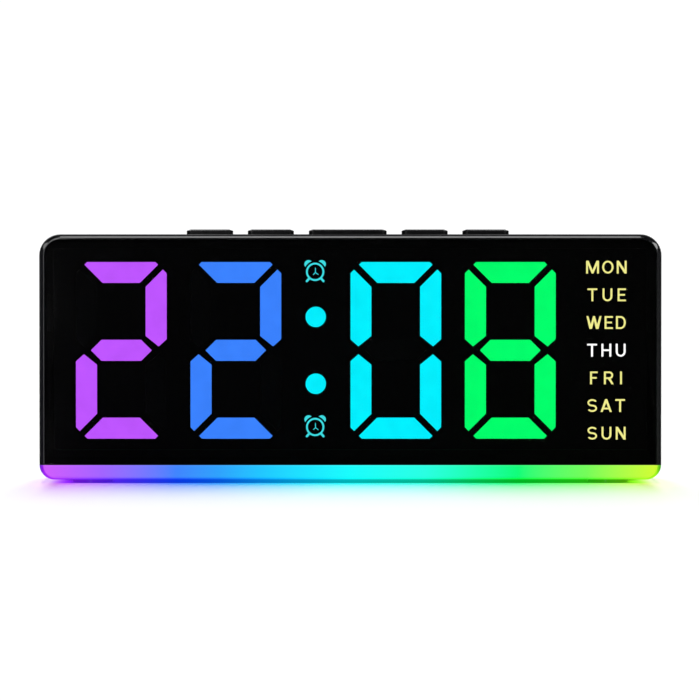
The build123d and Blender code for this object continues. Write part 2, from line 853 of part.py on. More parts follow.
with BuildPart() as buzzer:
    with BuildSketch(facing_front(rear_wall_y)):
        discs([(buzzer_x, buzzer_z)], buzzer_diameter)
    extrude(amount=buzzer_height)
    with BuildSketch(facing_front(rear_wall_y)):
        discs([(buzzer_x, buzzer_z)], buzzer_bore)
    extrude(amount=buzzer_bore_depth, mode=Mode.SUBTRACT)
finish(buzzer, "buzzer")


def on_main_board(shares):
    """A place given from the middle of the main board, as shares of its width and height."""
    across, up = shares
    return (main_board_x + across * main_board_width, main_board_z + up * main_board_height)


# Main board on the posts of the rear cover, and what stands on it
with BuildPart() as main_board:
    with BuildSketch(facing_front(main_board_rear_y)):
        with Locations((main_board_x, main_board_z)):
            Rectangle(main_board_width, main_board_height)
        with Locations(*main_board_holes):
            Circle(screw_diameter / 2 + slip, mode=Mode.SUBTRACT)
    extrude(amount=board_thickness)
finish(main_board, "main_board")

with BuildPart() as main_board_screws:
    screws(
        [Plane((x, main_board_front_y, z), z_dir=(0, 1, 0)) for x, z in main_board_holes], board_screw_length
    )
finish(main_board_screws, "main_board_screws")

with BuildPart() as controller_chip:
    with BuildSketch(facing_front(main_board_front_y)):
        with Locations(on_main_board(controller_shares)):
            Rectangle(controller_width, controller_height)
    extrude(amount=controller_thickness)
finish(controller_chip, "controller_chip")

with BuildPart() as quartz_crystal:
    with BuildSketch(facing_front(main_board_front_y)):
        with Locations(on_main_board(crystal_shares)):
            SlotOverall(crystal_width, crystal_height)
    extrude(amount=crystal_thickness)
finish(quartz_crystal, "quartz_crystal")

with BuildPart() as capacitor:
    with BuildSketch(facing_front(main_board_front_y)):
        discs([on_main_board(capacitor_shares)], capacitor_diameter)
    extrude(amount=capacitor_height)
finish(capacitor, "capacitor")

# Upright power inlet: shell, insulator at its root and contact tongue
usb_mouth_y = rear_y - usb_recess
with BuildPart() as usb_socket:
    with BuildSketch(facing_front(usb_mouth_y)):
        with Locations((main_board_x, usb_z)):
            SlotOverall(usb_width, usb_height)
    extrude(amount=usb_mouth_y - main_board_rear_y)
    with BuildSketch(facing_front(usb_mouth_y)):
        with Locations((main_board_x, usb_z)):
            SlotOverall(usb_width - 2 * usb_shell, usb_height - 2 * usb_shell)
    extrude(amount=usb_mouth_y - main_board_rear_y - usb_base_depth, mode=Mode.SUBTRACT)
    with BuildSketch(facing_front(usb_mouth_y - usb_tongue_set_back)):
        with Locations((main_board_x, usb_z)):
            Rectangle(usb_tongue_width, usb_tongue_thickness)
    extrude(amount=usb_mouth_y - usb_tongue_set_back - main_board_rear_y)
finish(usb_socket, "usb_socket")

# Ribbon headers on the boards, each with a slot that takes the ribbon's end
main_header_y = main_board_front_y - header_depth
display_header_y = display_board_rear_y + header_depth
key_header_x, key_header_z = on_main_board(key_header_shares)
key_header_y = header_height / 2 + key_board_edge - key_board_width / 2
strip_header_x, strip_header_z = on_main_board(strip_header_shares)
display_header_x, display_header_z = on_main_board(display_header_shares)
far_header_z = display_header_z - display_header_drop
key_board_bottom_z = key_board_top_z - key_board_thickness
key_header_bottom_z = key_board_bottom_z - header_depth
slot_width = ribbon_width + 2 * slip
slot_thickness = ribbon_thickness + 2 * slip
slot_depth = ribbon_grip + slip


def header_outline(places):
    """Outlines of the headers at the places."""
    with Locations(*places):
        Rectangle(header_width, header_height)


def slot_outline(places):
    """Outlines of the ribbon slots at the places."""
    with Locations(*places):
        Rectangle(slot_width, slot_thickness)


main_header_places = [
    (key_header_x, key_header_z),
    (strip_header_x, strip_header_z),
    (display_header_x, display_header_z),
]
with BuildPart() as ribbon_headers:
    with BuildSketch(facing_front(main_board_front_y)):
        header_outline(main_header_places)
    extrude(amount=header_depth)
    with BuildSketch(facing_front(main_header_y)):
        slot_outline(main_header_places)
    extrude(amount=-slot_depth, mode=Mode.SUBTRACT)
    with BuildSketch(facing_front(display_header_y)):
        header_outline([(display_header_x, far_header_z)])
    extrude(amount=header_depth)
    with BuildSketch(facing_front(display_header_y)):
        slot_outline([(display_header_x, far_header_z)])
    extrude(amount=slot_depth, mode=Mode.SUBTRACT)
    with BuildSketch(facing_up(key_header_bottom_z)):
        header_outline([(key_header_x, key_header_y)])
    extrude(amount=header_depth)
    with BuildSketch(facing_up(key_header_bottom_z)):
        slot_outline([(key_header_x, key_header_y)])
    extrude(amount=slot_depth, mode=Mode.SUBTRACT)
finish(ribbon_headers, "ribbon_headers")

# Ribbon cables between the boards: points are depth and height along each route
main_end_y = main_header_y + ribbon_grip
middle_y = (main_header_y + display_header_y) / 2
strip_y = front_y + base_wall + strip_setback + strip_width / 2
strip_top_z = base_floor_z + strip_thickness
strip_ribbon_z = strip_top_z + seat_gap + ribbon_thickness / 2
routes = {
    "display_ribbon": (
        display_header_x,
        [
            (main_end_y, display_header_z),
            (middle_y, display_header_z),
            (middle_y, far_header_z),
            (display_header_y - ribbon_grip, far_header_z),
        ],
    ),
    "key_ribbon": (
        key_header_x,
        [
            (key_header_y, key_header_bottom_z + ribbon_grip),
            (key_header_y, key_header_z),
            (main_end_y, key_header_z),
        ],
    ),
    "strip_ribbon": (
        strip_header_x,
        [
            (strip_y, strip_ribbon_z),
            (0, strip_ribbon_z),
            (0, strip_header_z),
            (main_end_y, strip_header_z),
        ],
    ),
}
for name, (x, points) in routes.items():
    with BuildPart() as ribbon:
        with BuildLine(Plane.YZ.offset(x)) as route:
            FilletPolyline(*points, radius=ribbon_bend)
        with BuildSketch(Plane(route.line @ 0, x_dir=(1, 0, 0), z_dir=route.line % 0)):
            Rectangle(ribbon_width, ribbon_thickness)
        sweep()
    finish(ribbon, name)

# Light base: milky tray under the whole clock
strip_length = case_width - 2 * strip_end_inset
strip_peg_places = [(side * strip_peg_spread_share * strip_length, strip_y) for side in (-1, 1)]
with BuildPart() as light_base:
    with BuildSketch(facing_front(rear_y)) as base_outline:
        with Locations((0, base_bottom + base_height / 2)):
            Rectangle(case_width, base_height)
        fillet(base_outline.vertices().group_by(Axis.Y)[0], base_corner_radius)
    extrude(amount=case_depth)
    base_front_edges = light_base.faces().sort_by(Axis.Y)[0].edges()
    fillet(base_front_edges.filter_by(lambda edge: edge.center().Z < base_top - hair), rim_round)
    base_back_edges = light_base.faces().sort_by(Axis.Y)[-1].edges()
    fillet(base_back_edges.filter_by(lambda edge: edge.center().Z < base_top - hair), rear_round)
    with BuildSketch(facing_up(base_floor_z)):
        Rectangle(case_width - 2 * base_end_wall, case_depth - 2 * base_wall)
    extrude(amount=base_top - base_floor_z, mode=Mode.SUBTRACT)
    with BuildSketch(facing_up(base_floor_z)):
        discs(base_post_places, base_post_diameter)
    extrude(amount=base_top - base_floor_z)
    with BuildSketch(facing_up(base_floor_z)):
        discs(strip_peg_places, strip_peg_diameter)
    extrude(amount=strip_thickness + strip_peg_rise)
    with BuildSketch(facing_up(base_bottom)):
        discs(foot_places, foot_diameter + 2 * seat_gap)
    extrude(amount=foot_socket_depth, mode=Mode.SUBTRACT)
    with BuildSketch(facing_up(base_bottom)):
        discs(base_post_places, screw_head_diameter + 2 * slip)
    extrude(amount=base_screw_sink, mode=Mode.SUBTRACT)
    with BuildSketch(facing_up(base_bottom)):
        discs(base_post_places, screw_diameter + 2 * slip)
    extrude(amount=base_height, mode=Mode.SUBTRACT)
finish(light_base, "light_base")

with BuildPart() as base_screws:
    screws([Plane((x, y, base_bottom + base_screw_sink)) for x, y in base_post_places], base_screw_length)
finish(base_screws, "base_screws")

with BuildPart() as rubber_feet:
    with BuildSketch(facing_up(0)):
        discs(foot_places, foot_diameter)
    extrude(amount=foot_height + foot_socket_depth)
finish(rubber_feet, "rubber_feet")

# Light strip: narrow board on two pegs, with a row of light sources
with BuildPart() as light_strip_board:
    with BuildSketch(facing_up(base_floor_z)):
        with Locations((0, strip_y)):
            Rectangle(strip_length, strip_width)
        with Locations(*strip_peg_places):
            Circle(strip_peg_diameter / 2 + seat_gap, mode=Mode.SUBTRACT)
    extrude(amount=strip_thickness)
finish(light_strip_board, "light_strip_board")

strip_led_pitch = strip_length / strip_led_count
strip_led_y = strip_y - strip_width / 2 + led_depth / 2
with BuildPart() as light_strip_leds:
    with BuildSketch(facing_up(strip_top_z)):
        for number in range(strip_led_count):
            with Locations(((number - (strip_led_count - 1) / 2) * strip_led_pitch, strip_led_y)):
                Rectangle(led_width, led_depth)
    extrude(amount=strip_led_height)
finish(light_strip_leds, "light_strip_leds")

# Key board under the top wall, its screws and the switch bodies
key_places = [(x, 0) for x, width in keys.values()]
with BuildPart() as key_board:
    with BuildSketch(facing_up(key_board_bottom_z)):
        with Locations((key_row_shift, 0)):
            Rectangle(key_board_length, key_board_width)
        with Locations(*key_post_places):
            Circle(screw_diameter / 2 + slip, mode=Mode.SUBTRACT)
    extrude(amount=key_board_thickness)
finish(key_board, "key_board")

with BuildPart() as key_board_screws:
    screws([Plane((x, y, key_board_bottom_z)) for x, y in key_post_places], board_screw_length)
finish(key_board_screws, "key_board_screws")

with BuildPart() as switch_bodies:
    with BuildSketch(facing_up(key_board_top_z)):
        with Locations(*key_places):
            Rectangle(switch_size, switch_size)
    extrude(amount=switch_height)
    with BuildSketch(facing_up(well_floor_z)):
        discs(key_places, plunger_diameter + 2 * seat_gap)
    extrude(amount=switch_top_z - well_floor_z, mode=Mode.SUBTRACT)
finish(switch_bodies, "switch_bodies")

# Each key: cap with a flange that keeps it in the case, plunger of its switch, snap dome that returns it
dome_rim = dome_rim_share * plunger_diameter
dome_radius = (dome_rim**2 + dome_height**2) / (2 * dome_height)
for name, (x, width) in keys.items():
    with BuildPart() as button:
        with BuildSketch(facing_up(flange_bottom_z)):
            with Locations((x, 0)):
                RectangleRounded(width, key_depth, key_corner_radius)
        extrude(amount=case_top + key_rise - flange_bottom_z)
        key_top = button.faces().sort_by(Axis.Z)[-1]
        chamfer(key_top.edges(), key_bevel_width, key_bevel_height, reference=key_top)
        with BuildSketch(facing_up(flange_bottom_z)):
            with Locations((x, 0)):
                RectangleRounded(
                    width + 2 * flange_lip, key_depth + 2 * flange_lip, key_corner_radius + flange_lip
                )
        extrude(amount=flange_thickness)
        with BuildSketch(facing_up(plunger_top_z)):
            discs([(x, 0)], key_stem_diameter)
        extrude(amount=key_stem_length)
    finish(button, f"{name}_button")

    with BuildPart() as plunger:
        with BuildSketch(facing_up(plunger_bottom_z)):
            discs([(x, 0)], plunger_diameter)
        extrude(amount=plunger_top_z - plunger_bottom_z)
    finish(plunger, f"{name}_plunger")

    with BuildPart() as dome:
        with Locations((x, 0, well_floor_z + dome_height - dome_radius)):
            Sphere(dome_radius)
            Sphere(dome_radius - dome_thickness, mode=Mode.SUBTRACT)
        split(bisect_by=facing_up(well_floor_z), keep=Keep.TOP)
    finish(dome, f"{name}_dome")
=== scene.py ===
"""Looks of the digital desk clock: finishes of its solids, printed legends, light and camera."""
import json
import math

import bmesh
import bpy
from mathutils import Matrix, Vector


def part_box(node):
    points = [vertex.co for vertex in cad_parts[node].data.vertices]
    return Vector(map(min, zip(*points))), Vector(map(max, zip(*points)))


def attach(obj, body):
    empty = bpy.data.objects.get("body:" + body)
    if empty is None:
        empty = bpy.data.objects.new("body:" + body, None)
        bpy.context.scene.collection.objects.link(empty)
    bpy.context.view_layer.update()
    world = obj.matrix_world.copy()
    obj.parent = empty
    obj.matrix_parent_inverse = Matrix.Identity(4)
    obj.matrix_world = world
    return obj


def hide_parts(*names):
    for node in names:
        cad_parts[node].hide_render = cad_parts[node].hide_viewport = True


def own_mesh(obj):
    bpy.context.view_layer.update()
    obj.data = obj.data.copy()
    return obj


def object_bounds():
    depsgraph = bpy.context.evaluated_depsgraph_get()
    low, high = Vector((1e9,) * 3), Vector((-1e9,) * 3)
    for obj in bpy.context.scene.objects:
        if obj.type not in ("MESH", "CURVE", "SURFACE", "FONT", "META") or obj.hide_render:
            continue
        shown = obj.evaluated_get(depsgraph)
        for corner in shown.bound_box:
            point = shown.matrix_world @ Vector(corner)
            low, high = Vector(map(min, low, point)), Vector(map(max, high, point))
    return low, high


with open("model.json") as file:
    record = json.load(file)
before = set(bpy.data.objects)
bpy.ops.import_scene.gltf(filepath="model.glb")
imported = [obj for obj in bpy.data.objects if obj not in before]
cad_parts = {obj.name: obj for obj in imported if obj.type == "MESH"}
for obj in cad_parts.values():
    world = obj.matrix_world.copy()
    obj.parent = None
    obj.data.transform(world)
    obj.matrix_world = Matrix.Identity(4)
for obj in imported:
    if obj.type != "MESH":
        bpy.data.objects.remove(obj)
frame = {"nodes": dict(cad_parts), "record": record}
cad_low, cad_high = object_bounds()
clock_width = cad_high.x - cad_low.x
nodes = frame["nodes"]
base_low, base_top = (corner.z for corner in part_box("light_base"))

# Lens: how much of it hides what lies behind, how strongly the display shines to make up for it,
# size of its clouds in metres, their darkest and lightest colour, and its roughness from and to
lens_alpha = 0.4
display_strength = 1 / (1 - lens_alpha) ** 2
lens_cloud = 0.02
lens_dark = (0.0008, 0.0008, 0.0009)
lens_light = (0.0012, 0.0012, 0.0013)
lens_roughness = (0.03, 0.06)

# Gloss of surfaces behind the lens, of the lit base, of satin keys and of most plastics
dull_specular = 0.03
base_specular = 0.1
satin_specular = 0.2
usual_specular = 0.5

# Polish: how far back from the front it goes on the case, how far below their flat tops it ends on
# the keys, and half the width of its border, all in metres; roughness beyond
polish_depth = 0.0012
polish_drop = 0.00003
polish_blur = 0.00002
matt_roughness = 0.7

# Clouds in a finish: detail of the noise they are made of, the part of its range that they use, and
# the sizes of those in the colour and in the gloss, in grains of the surface
noise_detail = 3
cloud_range = (0.3, 0.7)
colour_grains = 8
gloss_grains = 3

# Legends printed on the film behind the lens, in metres: thickness of the ink, how far the words
# stand above the middles of their light cells, the words from the lowest up with their width and
# their shift to the right, the one that is lit and how much stronger it is; digits to which the
# heights of the cells are told apart
ink_thickness = 0.00002
word_lift = 0.00004
word_widths_and_shifts = {
    "SUN": (0.01014, 0.00003),
    "SAT": (0.01000, -0.00006),
    "FRI": (0.00846, -0.00011),
    "THU": (0.01020, -0.00003),
    "WED": (0.01044, -0.00011),
    "TUE": (0.01021, 0.00004),
    "MON": (0.01073, -0.00006),
}
lit_word = "THU"
lit_word_boost = 1.25
cell_digits = 5

# Plain capitals: height, width of the upright strokes, height of the level ones, and each letter's
# width
cap = 0.0034
stem = 0.0005
arm = 0.00045
letter_widths = {
    "A": 0.0030,
    "D": 0.0026,
    "E": 0.0022,
    "F": 0.0020,
    "H": 0.0026,
    "I": stem,
    "M": 0.0034,
    "N": 0.0026,
    "O": 0.0030,
    "R": 0.0026,
    "S": 0.0026,
    "T": 0.0026,
    "U": 0.0026,
    "W": 0.0040,
}

# Steps around a whole ellipse and along an arc
round_steps = 48
arc_steps = 16

# Alarm symbol, in metres from the middle of its ring, and how far that stands from the middle of
# its light cell
ring_radius = 0.00243
ring_line = 0.00048
bell_radius = 0.0011
bell_place = (0.00176, 0.00202)
bell_gap_radius = 0.00291
leg_end = (0.0022, -0.00246)
leg_width = 0.0006
hand_middle = (0.00008, -0.00018)
hand_tips = ((0.00008, 0.0011), (-0.00053, -0.00077), (0.00088, -0.00077))
hand_width = 0.0002
symbol_shift = -0.00017
symbol_lift = 0.00024

# Photograph: its width in pixels, the clock's width in it, and where the clock stands in the frame
photo_pixels = 700
clock_pixels = 622.8
clock_middle_pixel = 350.35
clock_top_pixel = 234.25

# Camera: how far from the front, how high above the desk and how near it sees, in metres, and its
# sensor in millimetres
camera_distance = 1.1
camera_height = 0.060
camera_nearest = 0.01
sensor_width = 36.0

# Daylight from straight behind, which leaves the desk dim close to the front: elevation of each
# slice of it in degrees and the share of the desk's light that it gives; width of a slice in
# degrees
daylight = [(82, 0.27), (70, 0.22), (58, 0.19), (48, 0.14), (41, 0.11), (33, 0.07), (25, 0.05)]
daylight_spread = 14

# Surroundings: how strongly they light the clock, and how bright they look to the camera
room_strength = 0.02
backdrop_strength = 1.05

# Colour of the surroundings and of the painted highlight line on the light base
white = (1, 1, 1, 1)

# Desk: half its width in metres, and how pale it is
floor_half = 2.5
floor_white = 0.8

# Soft boxes that show only as reflections: outline; azimuth from the front, elevation and turn
# about the way they face, in degrees; width and height in metres; brightness. Their distance
soft_boxes = {
    "top_front": ("RECTANGLE", 0, 47, 0, 0.36, 0.77, 5.5),
    "corner_left": ("ELLIPSE", -46, 22, 67, 0.24, 1.15, 4.0),
    "corner_right": ("ELLIPSE", 46, 22, -67, 0.24, 1.15, 8.0),
    "side_left": ("RECTANGLE", -13.4, 4, 0, 0.15, 0.90, 4.2),
    "side_right": ("RECTANGLE", 37, -4, 0, 1.05, 0.50, 0.16),
    "far_left": ("RECTANGLE", -95, 20, 0, 0.8, 0.8, 0.12),
    "far_right": ("RECTANGLE", 95, 20, 0, 0.8, 0.8, 0.12),
    "behind_left": ("RECTANGLE", -150, 35, 0, 0.7, 0.7, 1.4),
    "behind_right": ("RECTANGLE", 150, 35, 0, 0.7, 0.7, 1.0),
    "overhead": ("RECTANGLE", 180, 75, 0, 0.8, 0.8, 0.2),
}
soft_box_distance = 1.0

# Light that the base throws on the desk, in metres: heights of the sheets it comes from, one above
# the other, and how far they go past the ends
glow_height = 0.0006
pale_height = 0.0004
front_height = 0.0002
glow_overhang = 0.008

# Glow in the base's colours: metres ahead of the front, and metres inside the ends, each with its
# level
glow_ahead = [
    (0.153, 0),
    (0.12, 0.02),
    (0.088, 0.07),
    (0.0715, 0.185),
    (0.054, 0.30),
    (0.036, 0.486),
    (0.0177, 0.7),
    (0.008, 0.83),
    (0, 0.92),
]
glow_inside = [
    (-0.008, 0),
    (-0.005, 0.04),
    (-0.002, 0.15),
    (0.001, 0.38),
    (0.004, 0.72),
    (0.007, 0.96),
    (0.011, 1.06),
    (0.018, 1.06),
    (0.035, 1),
]

# Paler light: metres ahead of the front with its level, metres inside the ends with the level of
# the sheet that goes on under the base and of the one that stays in front, and metres inside the
# left and the right end with its colour
pale_ahead = [
    (0.06, 0),
    (0.036, 0.18),
    (0.022, 0.3),
    (0.017, 0.45),
    (0.012, 0.62),
    (0.008, 0.78),
    (0, 1),
    (-0.03, 1),
    (-0.038, 0),
]
pale_end = [(0.004, 1), (0.007, 0)]
pale_inside = [(0.004, 0), (0.007, 1)]
pale_left = [
    (-0.008, (0, 0, 0)),
    (-0.004, (0.08, 0.06, 0.10)),
    (-0.0005, (0.24, 0.17, 0.33)),
    (0.0008, (0.64, 0.54, 0.67)),
    (0.0019, (0.68, 0.60, 0.50)),
    (0.0029, (0.42, 0.36, 0.27)),
    (0.004, (0.24, 0.17, 0.08)),
    (0.0056, (0.14, 0.09, 0.03)),
    (0.012, (0.11, 0.09, 0.06)),
    (0.02, (0.08, 0.08, 0.05)),
    (0.045, (0, 0, 0)),
]
pale_right = [
    (-0.008, (0, 0, 0)),
    (-0.004, (0.10, 0.12, 0.05)),
    (-0.0005, (0.30, 0.36, 0.14)),
    (0.0008, (0.65, 0.50, 0.60)),
    (0.0019, (0.75, 0.56, 0.64)),
    (0.0029, (0.50, 0.37, 0.36)),
    (0.004, (0.30, 0.18, 0.16)),
    (0.0056, (0.15, 0.06, 0.08)),
    (0.012, (0.12, 0.06, 0.09)),
    (0.02, (0.07, 0.05, 0.06)),
    (0.045, (0, 0, 0)),
]


def display_colour(red, green, blue):
    """Screen values from 0 to 255 as the linear colour that Blender works with."""
    channels = [value / 255 for value in (red, green, blue)]
    return tuple(c / 12.92 if c <= 0.04045 else ((c + 0.055) / 1.055) ** 2.4 for c in channels)


# Colours along the light base, from the left end to the right, darker at the very ends as painted
# shade on their rounding, and how many at each end belong to that painted shade and not to the glow
# on the desk
base_colours = [
    (0.0, display_colour(165, 30, 225)),
    (0.0065, display_colour(190, 60, 243)),
    (0.0085, display_colour(204, 86, 250)),
    (0.10, display_colour(161, 97, 255)),
    (0.22, display_colour(62, 131, 252)),
    (0.29, display_colour(44, 161, 251)),
    (0.36, display_colour(30, 199, 255)),
    (0.50, display_colour(22, 252, 252)),
    (0.62, display_colour(40, 254, 225)),
    (0.70, display_colour(28, 254, 172)),
    (0.77, display_colour(9, 252, 120)),
    (0.88, display_colour(115, 251, 88)),
    (0.9915, display_colour(208, 252, 46)),
    (0.9935, display_colour(180, 240, 30)),
    (1.0, display_colour(120, 200, 10)),
]
end_shade_stops = 2

# Light base, in metres: radius of its lower corners, width of the band of painted shade at its ends
# and at its lower edge, half the width of that band's border, thickness of its walls and floor. How
# strong the light in its hollow is, and by share of the length how strong that of its underside is
base_corner = 0.004
end_shade_width = 0.001
low_shade_width = 0.0003
band_blur = 0.0001
base_wall = 0.002
base_end_wall = 0.0045
base_floor = 0.0014
hollow_light = 0.03
base_below = [(0.045, 1.5), (0.055, 1.0), (0.2, 1.0), (0.5, 0.6), (0.945, 0.6), (0.955, 1.4)]

# Borders in the light base, each from and to in metres: behind its front or above its underside for
# the painted shade, above its underside for the underside's light, below its top for the painted
# highlight line and for the painted shadow under the case; and the level of the painted highlight
# line
painted_shade_behind = (0.00003, 0.0004)
painted_shade_above = (0.0003, 0.0007)
underside_above = (0, 0.0002)
painted_highlight_below = (-0.0006, -0.0004)
case_shadow_below = (-0.00022, -0.00018)
painted_highlight_level = 0.025

# Finish of the light base: size of its clouds in metres, roughness from and to, size of its grain
# and depth of its relief
base_cloud = 0.002
base_roughness = (0.13, 0.19)
base_grain = 0.0006
base_relief = 0.0000005

# Lit base and feet: how far painted shade deepens the colour on the front and behind it, and how
# strong the light is
lit_slots = {
    "base_plastic": (0.0, 0.75, 1.0),
    # The feet glow as painted light: the base's light falling on them, with their colour deepened
    # all over
    "foot_rubber": (1.0, 1.0, 0.6),
}

# Light of the fillings behind the lens: size of its clouds in metres, their least and most light,
# roughness from and to, colour of the unlit body, and colour by slot
filling_cloud = 0.004
filling_dimmest = 0.94
filling_brightest = 1.03
filling_roughness = (0.5, 0.6)
unlit_body = (0.02, 0.02, 0.02, 1)
filling_colours = {
    "purple_filling": display_colour(190, 85, 255),
    "blue_filling": display_colour(58, 130, 255),
    "cyan_filling": display_colour(0, 240, 255),
    "green_filling": display_colour(0, 255, 106),
}
symbol_colour = display_colour(60, 218, 224)
word_colour = display_colour(243, 238, 143)
lit_word_colour = display_colour(250, 250, 250)

# Stripes: length of one band of the wave texture at scale 1, place in a band and share of the
# colour for the darkest and the lightest; by slot the pitch in metres, the axis, and roughness
# from and to
band_length = math.pi / 10
stripe_tones = [(0.2, 0.6), (0.6, 1.25)]
striped_slots = {
    "circuit_board": (0.0012, "DIAGONAL", (0.3, 0.45)),
    "ribbon_jacket": (0.00127, "X", (0.5, 0.6)),
}

# Surface of each slot: roughness from and to, size of its grain and depth of its relief in metres,
# metal or not, and gloss
finishes = {
    "case_plastic": (0.09, 0.13, 0.0030, 0.0000004, 0, usual_specular),
    "rear_plastic": (0.48, 0.60, 0.0004, 0.0000120, 0, usual_specular),
    "key_plastic": (0.20, 0.26, 0.0006, 0.0000010, 0, satin_specular),
    "adhesive": (0.70, 0.85, 0.0008, 0.0000100, 0, dull_specular),
    "mask_ink": (0.45, 0.55, 0.0010, 0.0000010, 0, dull_specular),
    "reflector_plastic": (0.50, 0.60, 0.0020, 0.0000020, 0, usual_specular),
    "dark_filling": (0.45, 0.55, 0.0010, 0.0000010, 0, dull_specular),
    "legend_filling": (0.45, 0.55, 0.0020, 0.0000020, 0, usual_specular),
    "led_package": (0.30, 0.40, 0.0010, 0.0000020, 0, usual_specular),
    "chip_resin": (0.55, 0.70, 0.0003, 0.0000060, 0, usual_specular),
    "header_plastic": (0.45, 0.55, 0.0010, 0.0000030, 0, usual_specular),
    "buzzer_plastic": (0.40, 0.50, 0.0006, 0.0000040, 0, usual_specular),
    "switch_plastic": (0.45, 0.55, 0.0006, 0.0000040, 0, usual_specular),
    "plunger_plastic": (0.35, 0.45, 0.0008, 0.0000020, 0, usual_specular),
    "plated_steel": (0.22, 0.34, 0.0007, 0.0000010, 1, usual_specular),
    "can_aluminium": (0.28, 0.40, 0.0005, 0.0000015, 1, usual_specular),
    "black_screw": (0.38, 0.50, 0.0005, 0.0000030, 1, usual_specular),
}
slot_colours = {entry["slot"]: entry["base_color"][:3] for entry in frame["record"]["materials"]}

# Mix node: numbers of the sockets for the amount, the two values and the result
mix_sockets = {"FLOAT": (0, 2, 3, 0), "RGBA": (0, 6, 7, 2)}


def new_finish(name):
    """A material with its node tree and its shader."""
    material = bpy.data.materials.new(name)
    material.use_nodes = True
    tree = material.node_tree
    return material, tree, tree.nodes["Principled BSDF"]


def object_place(tree):
    """Places on the surface, in metres from the clock's origin."""
    return tree.nodes.new("ShaderNodeTexCoord").outputs["Object"]


def axes_of(tree, vector):
    """The X, Y and Z of a vector."""
    node = tree.nodes.new("ShaderNodeSeparateXYZ")
    tree.links.new(vector, node.inputs["Vector"])
    return node.outputs


def noise(tree, grain):
    """Soft random spots of about the grain's size."""
    node = tree.nodes.new("ShaderNodeTexNoise")
    node.inputs["Scale"].default_value = 1 / grain
    node.inputs["Detail"].default_value = noise_detail
    tree.links.new(object_place(tree), node.inputs["Vector"])
    return node.outputs["Fac"]


def spread(tree, value, source, target):
    """Maps a value from one range to another, without leaving it."""
    node = tree.nodes.new("ShaderNodeMapRange")
    tree.links.new(value, node.inputs["Value"])
    for label, number in zip(("From Min", "From Max", "To Min", "To Max"), (*source, *target)):
        node.inputs[label].default_value = number
    return node.outputs["Result"]


def clouds(tree, grain, target=(0, 1)):
    """Soft random spots of about the grain's size, spread over a range."""
    return spread(tree, noise(tree, grain), cloud_range, target)


def ramp(tree, value, stops):
    """Colours along a value from 0 to 1."""
    node = tree.nodes.new("ShaderNodeValToRGB")
    elements = node.color_ramp.elements
    while len(elements) < len(stops):
        elements.new(0.5)
    for element, (position, colour) in zip(elements, stops):
        element.position = position
        element.color = (*colour, 1)
    tree.links.new(value, node.inputs["Fac"])
    return node.outputs["Color"]


def greys(tree, value, stops):
    """Plain levels along a value from 0 to 1."""
    return ramp(tree, value, [(position, (level,) * 3) for position, level in stops])


def combined(tree, operation, first, second):
    """One value from two."""
    node = tree.nodes.new("ShaderNodeMath")
    node.operation = operation
    tree.links.new(first, node.inputs[0])
    tree.links.new(second, node.inputs[1])
    return node.outputs[0]


def mixed(tree, amount, first, second, blend=None):
    """From one value to another by an amount, or, with a blend mode, from one colour to its blend
    with another. Each is a node's output or a constant."""
    node = tree.nodes.new("ShaderNodeMix")
    if blend:
        node.data_type = "RGBA"
        node.blend_type = blend
    *entries, result = mix_sockets[node.data_type]
    for entry, value in zip(entries, (amount, first, second)):
        if isinstance(value, bpy.types.NodeSocket):
            tree.links.new(value, node.inputs[entry])
        else:
            node.inputs[entry].default_value = value
    return node.outputs[result]


def vector_math(tree, operation, first, second=(0, 0, 0)):
    """Outputs of a node that works on a vector, or on that and a constant one."""
    node = tree.nodes.new("ShaderNodeVectorMath")
    node.operation = operation
    tree.links.new(first, node.inputs[0])
    node.inputs[1].default_value = second
    return node.outputs


def beside(place, distances):
    """Places at distances from a place."""
    return tuple(place + distance for distance in distances)


def shaded(colour, share):
    """A colour made lighter or darker."""
    return tuple(share * channel for channel in colour)


def relief(tree, shader, grain, depth):
    """Fine bumps on the surface."""
    node = tree.nodes.new("ShaderNodeBump")
    node.inputs["Distance"].default_value = depth
    tree.links.new(noise(tree, grain), node.inputs["Height"])
    tree.links.new(node.outputs["Normal"], shader.inputs["Normal"])


def surface(slot, colour, rough_from, rough_to, grain, depth, metal, specular, mottle=0.07):
    """A moulded, printed or plated surface with cloudy colour, uneven gloss and fine relief."""
    material, tree, shader = new_finish(slot)
    tones = [(0, shaded(colour, 1 - mottle)), (1, shaded(colour, 1 + mottle))]
    cloudy = ramp(tree, clouds(tree, colour_grains * grain), tones)
    tree.links.new(cloudy, shader.inputs["Base Color"])
    gloss = clouds(tree, gloss_grains * grain, (rough_from, rough_to))
    tree.links.new(gloss, shader.inputs["Roughness"])
    shader.inputs["Metallic"].default_value = metal
    shader.inputs["Specular IOR Level"].default_value = specular
    relief(tree, shader, grain, depth)
    return material


def matt_beyond(material, axis, place):
    """Keeps the polish of a material up to a place along an axis and makes the rest matt."""
    tree = material.node_tree
    roughness = tree.nodes["Principled BSDF"].inputs["Roughness"]
    polished = roughness.links[0].from_socket
    border = beside(place, (-polish_blur, polish_blur))
    beyond = spread(tree, axes_of(tree, object_place(tree))[axis], border, (0, 1))
    tree.links.new(mixed(tree, beyond, polished, matt_roughness), roughness)


def lit_filling(slot, colour, strength):
    """Milky plastic that shines evenly, a little brighter in cloudy patches."""
    material, tree, shader = new_finish(slot)
    cloud = clouds(tree, filling_cloud)
    tones = [(0, shaded(colour, filling_dimmest)), (1, shaded(colour, filling_brightest))]
    tree.links.new(ramp(tree, cloud, tones), shader.inputs["Emission Color"])
    shader.inputs["Emission Strength"].default_value = strength
    shader.inputs["Base Color"].default_value = unlit_body
    shader.inputs["Specular IOR Level"].default_value = dull_specular
    tree.links.new(spread(tree, cloud, (0, 1), filling_roughness), shader.inputs["Roughness"])
    return material


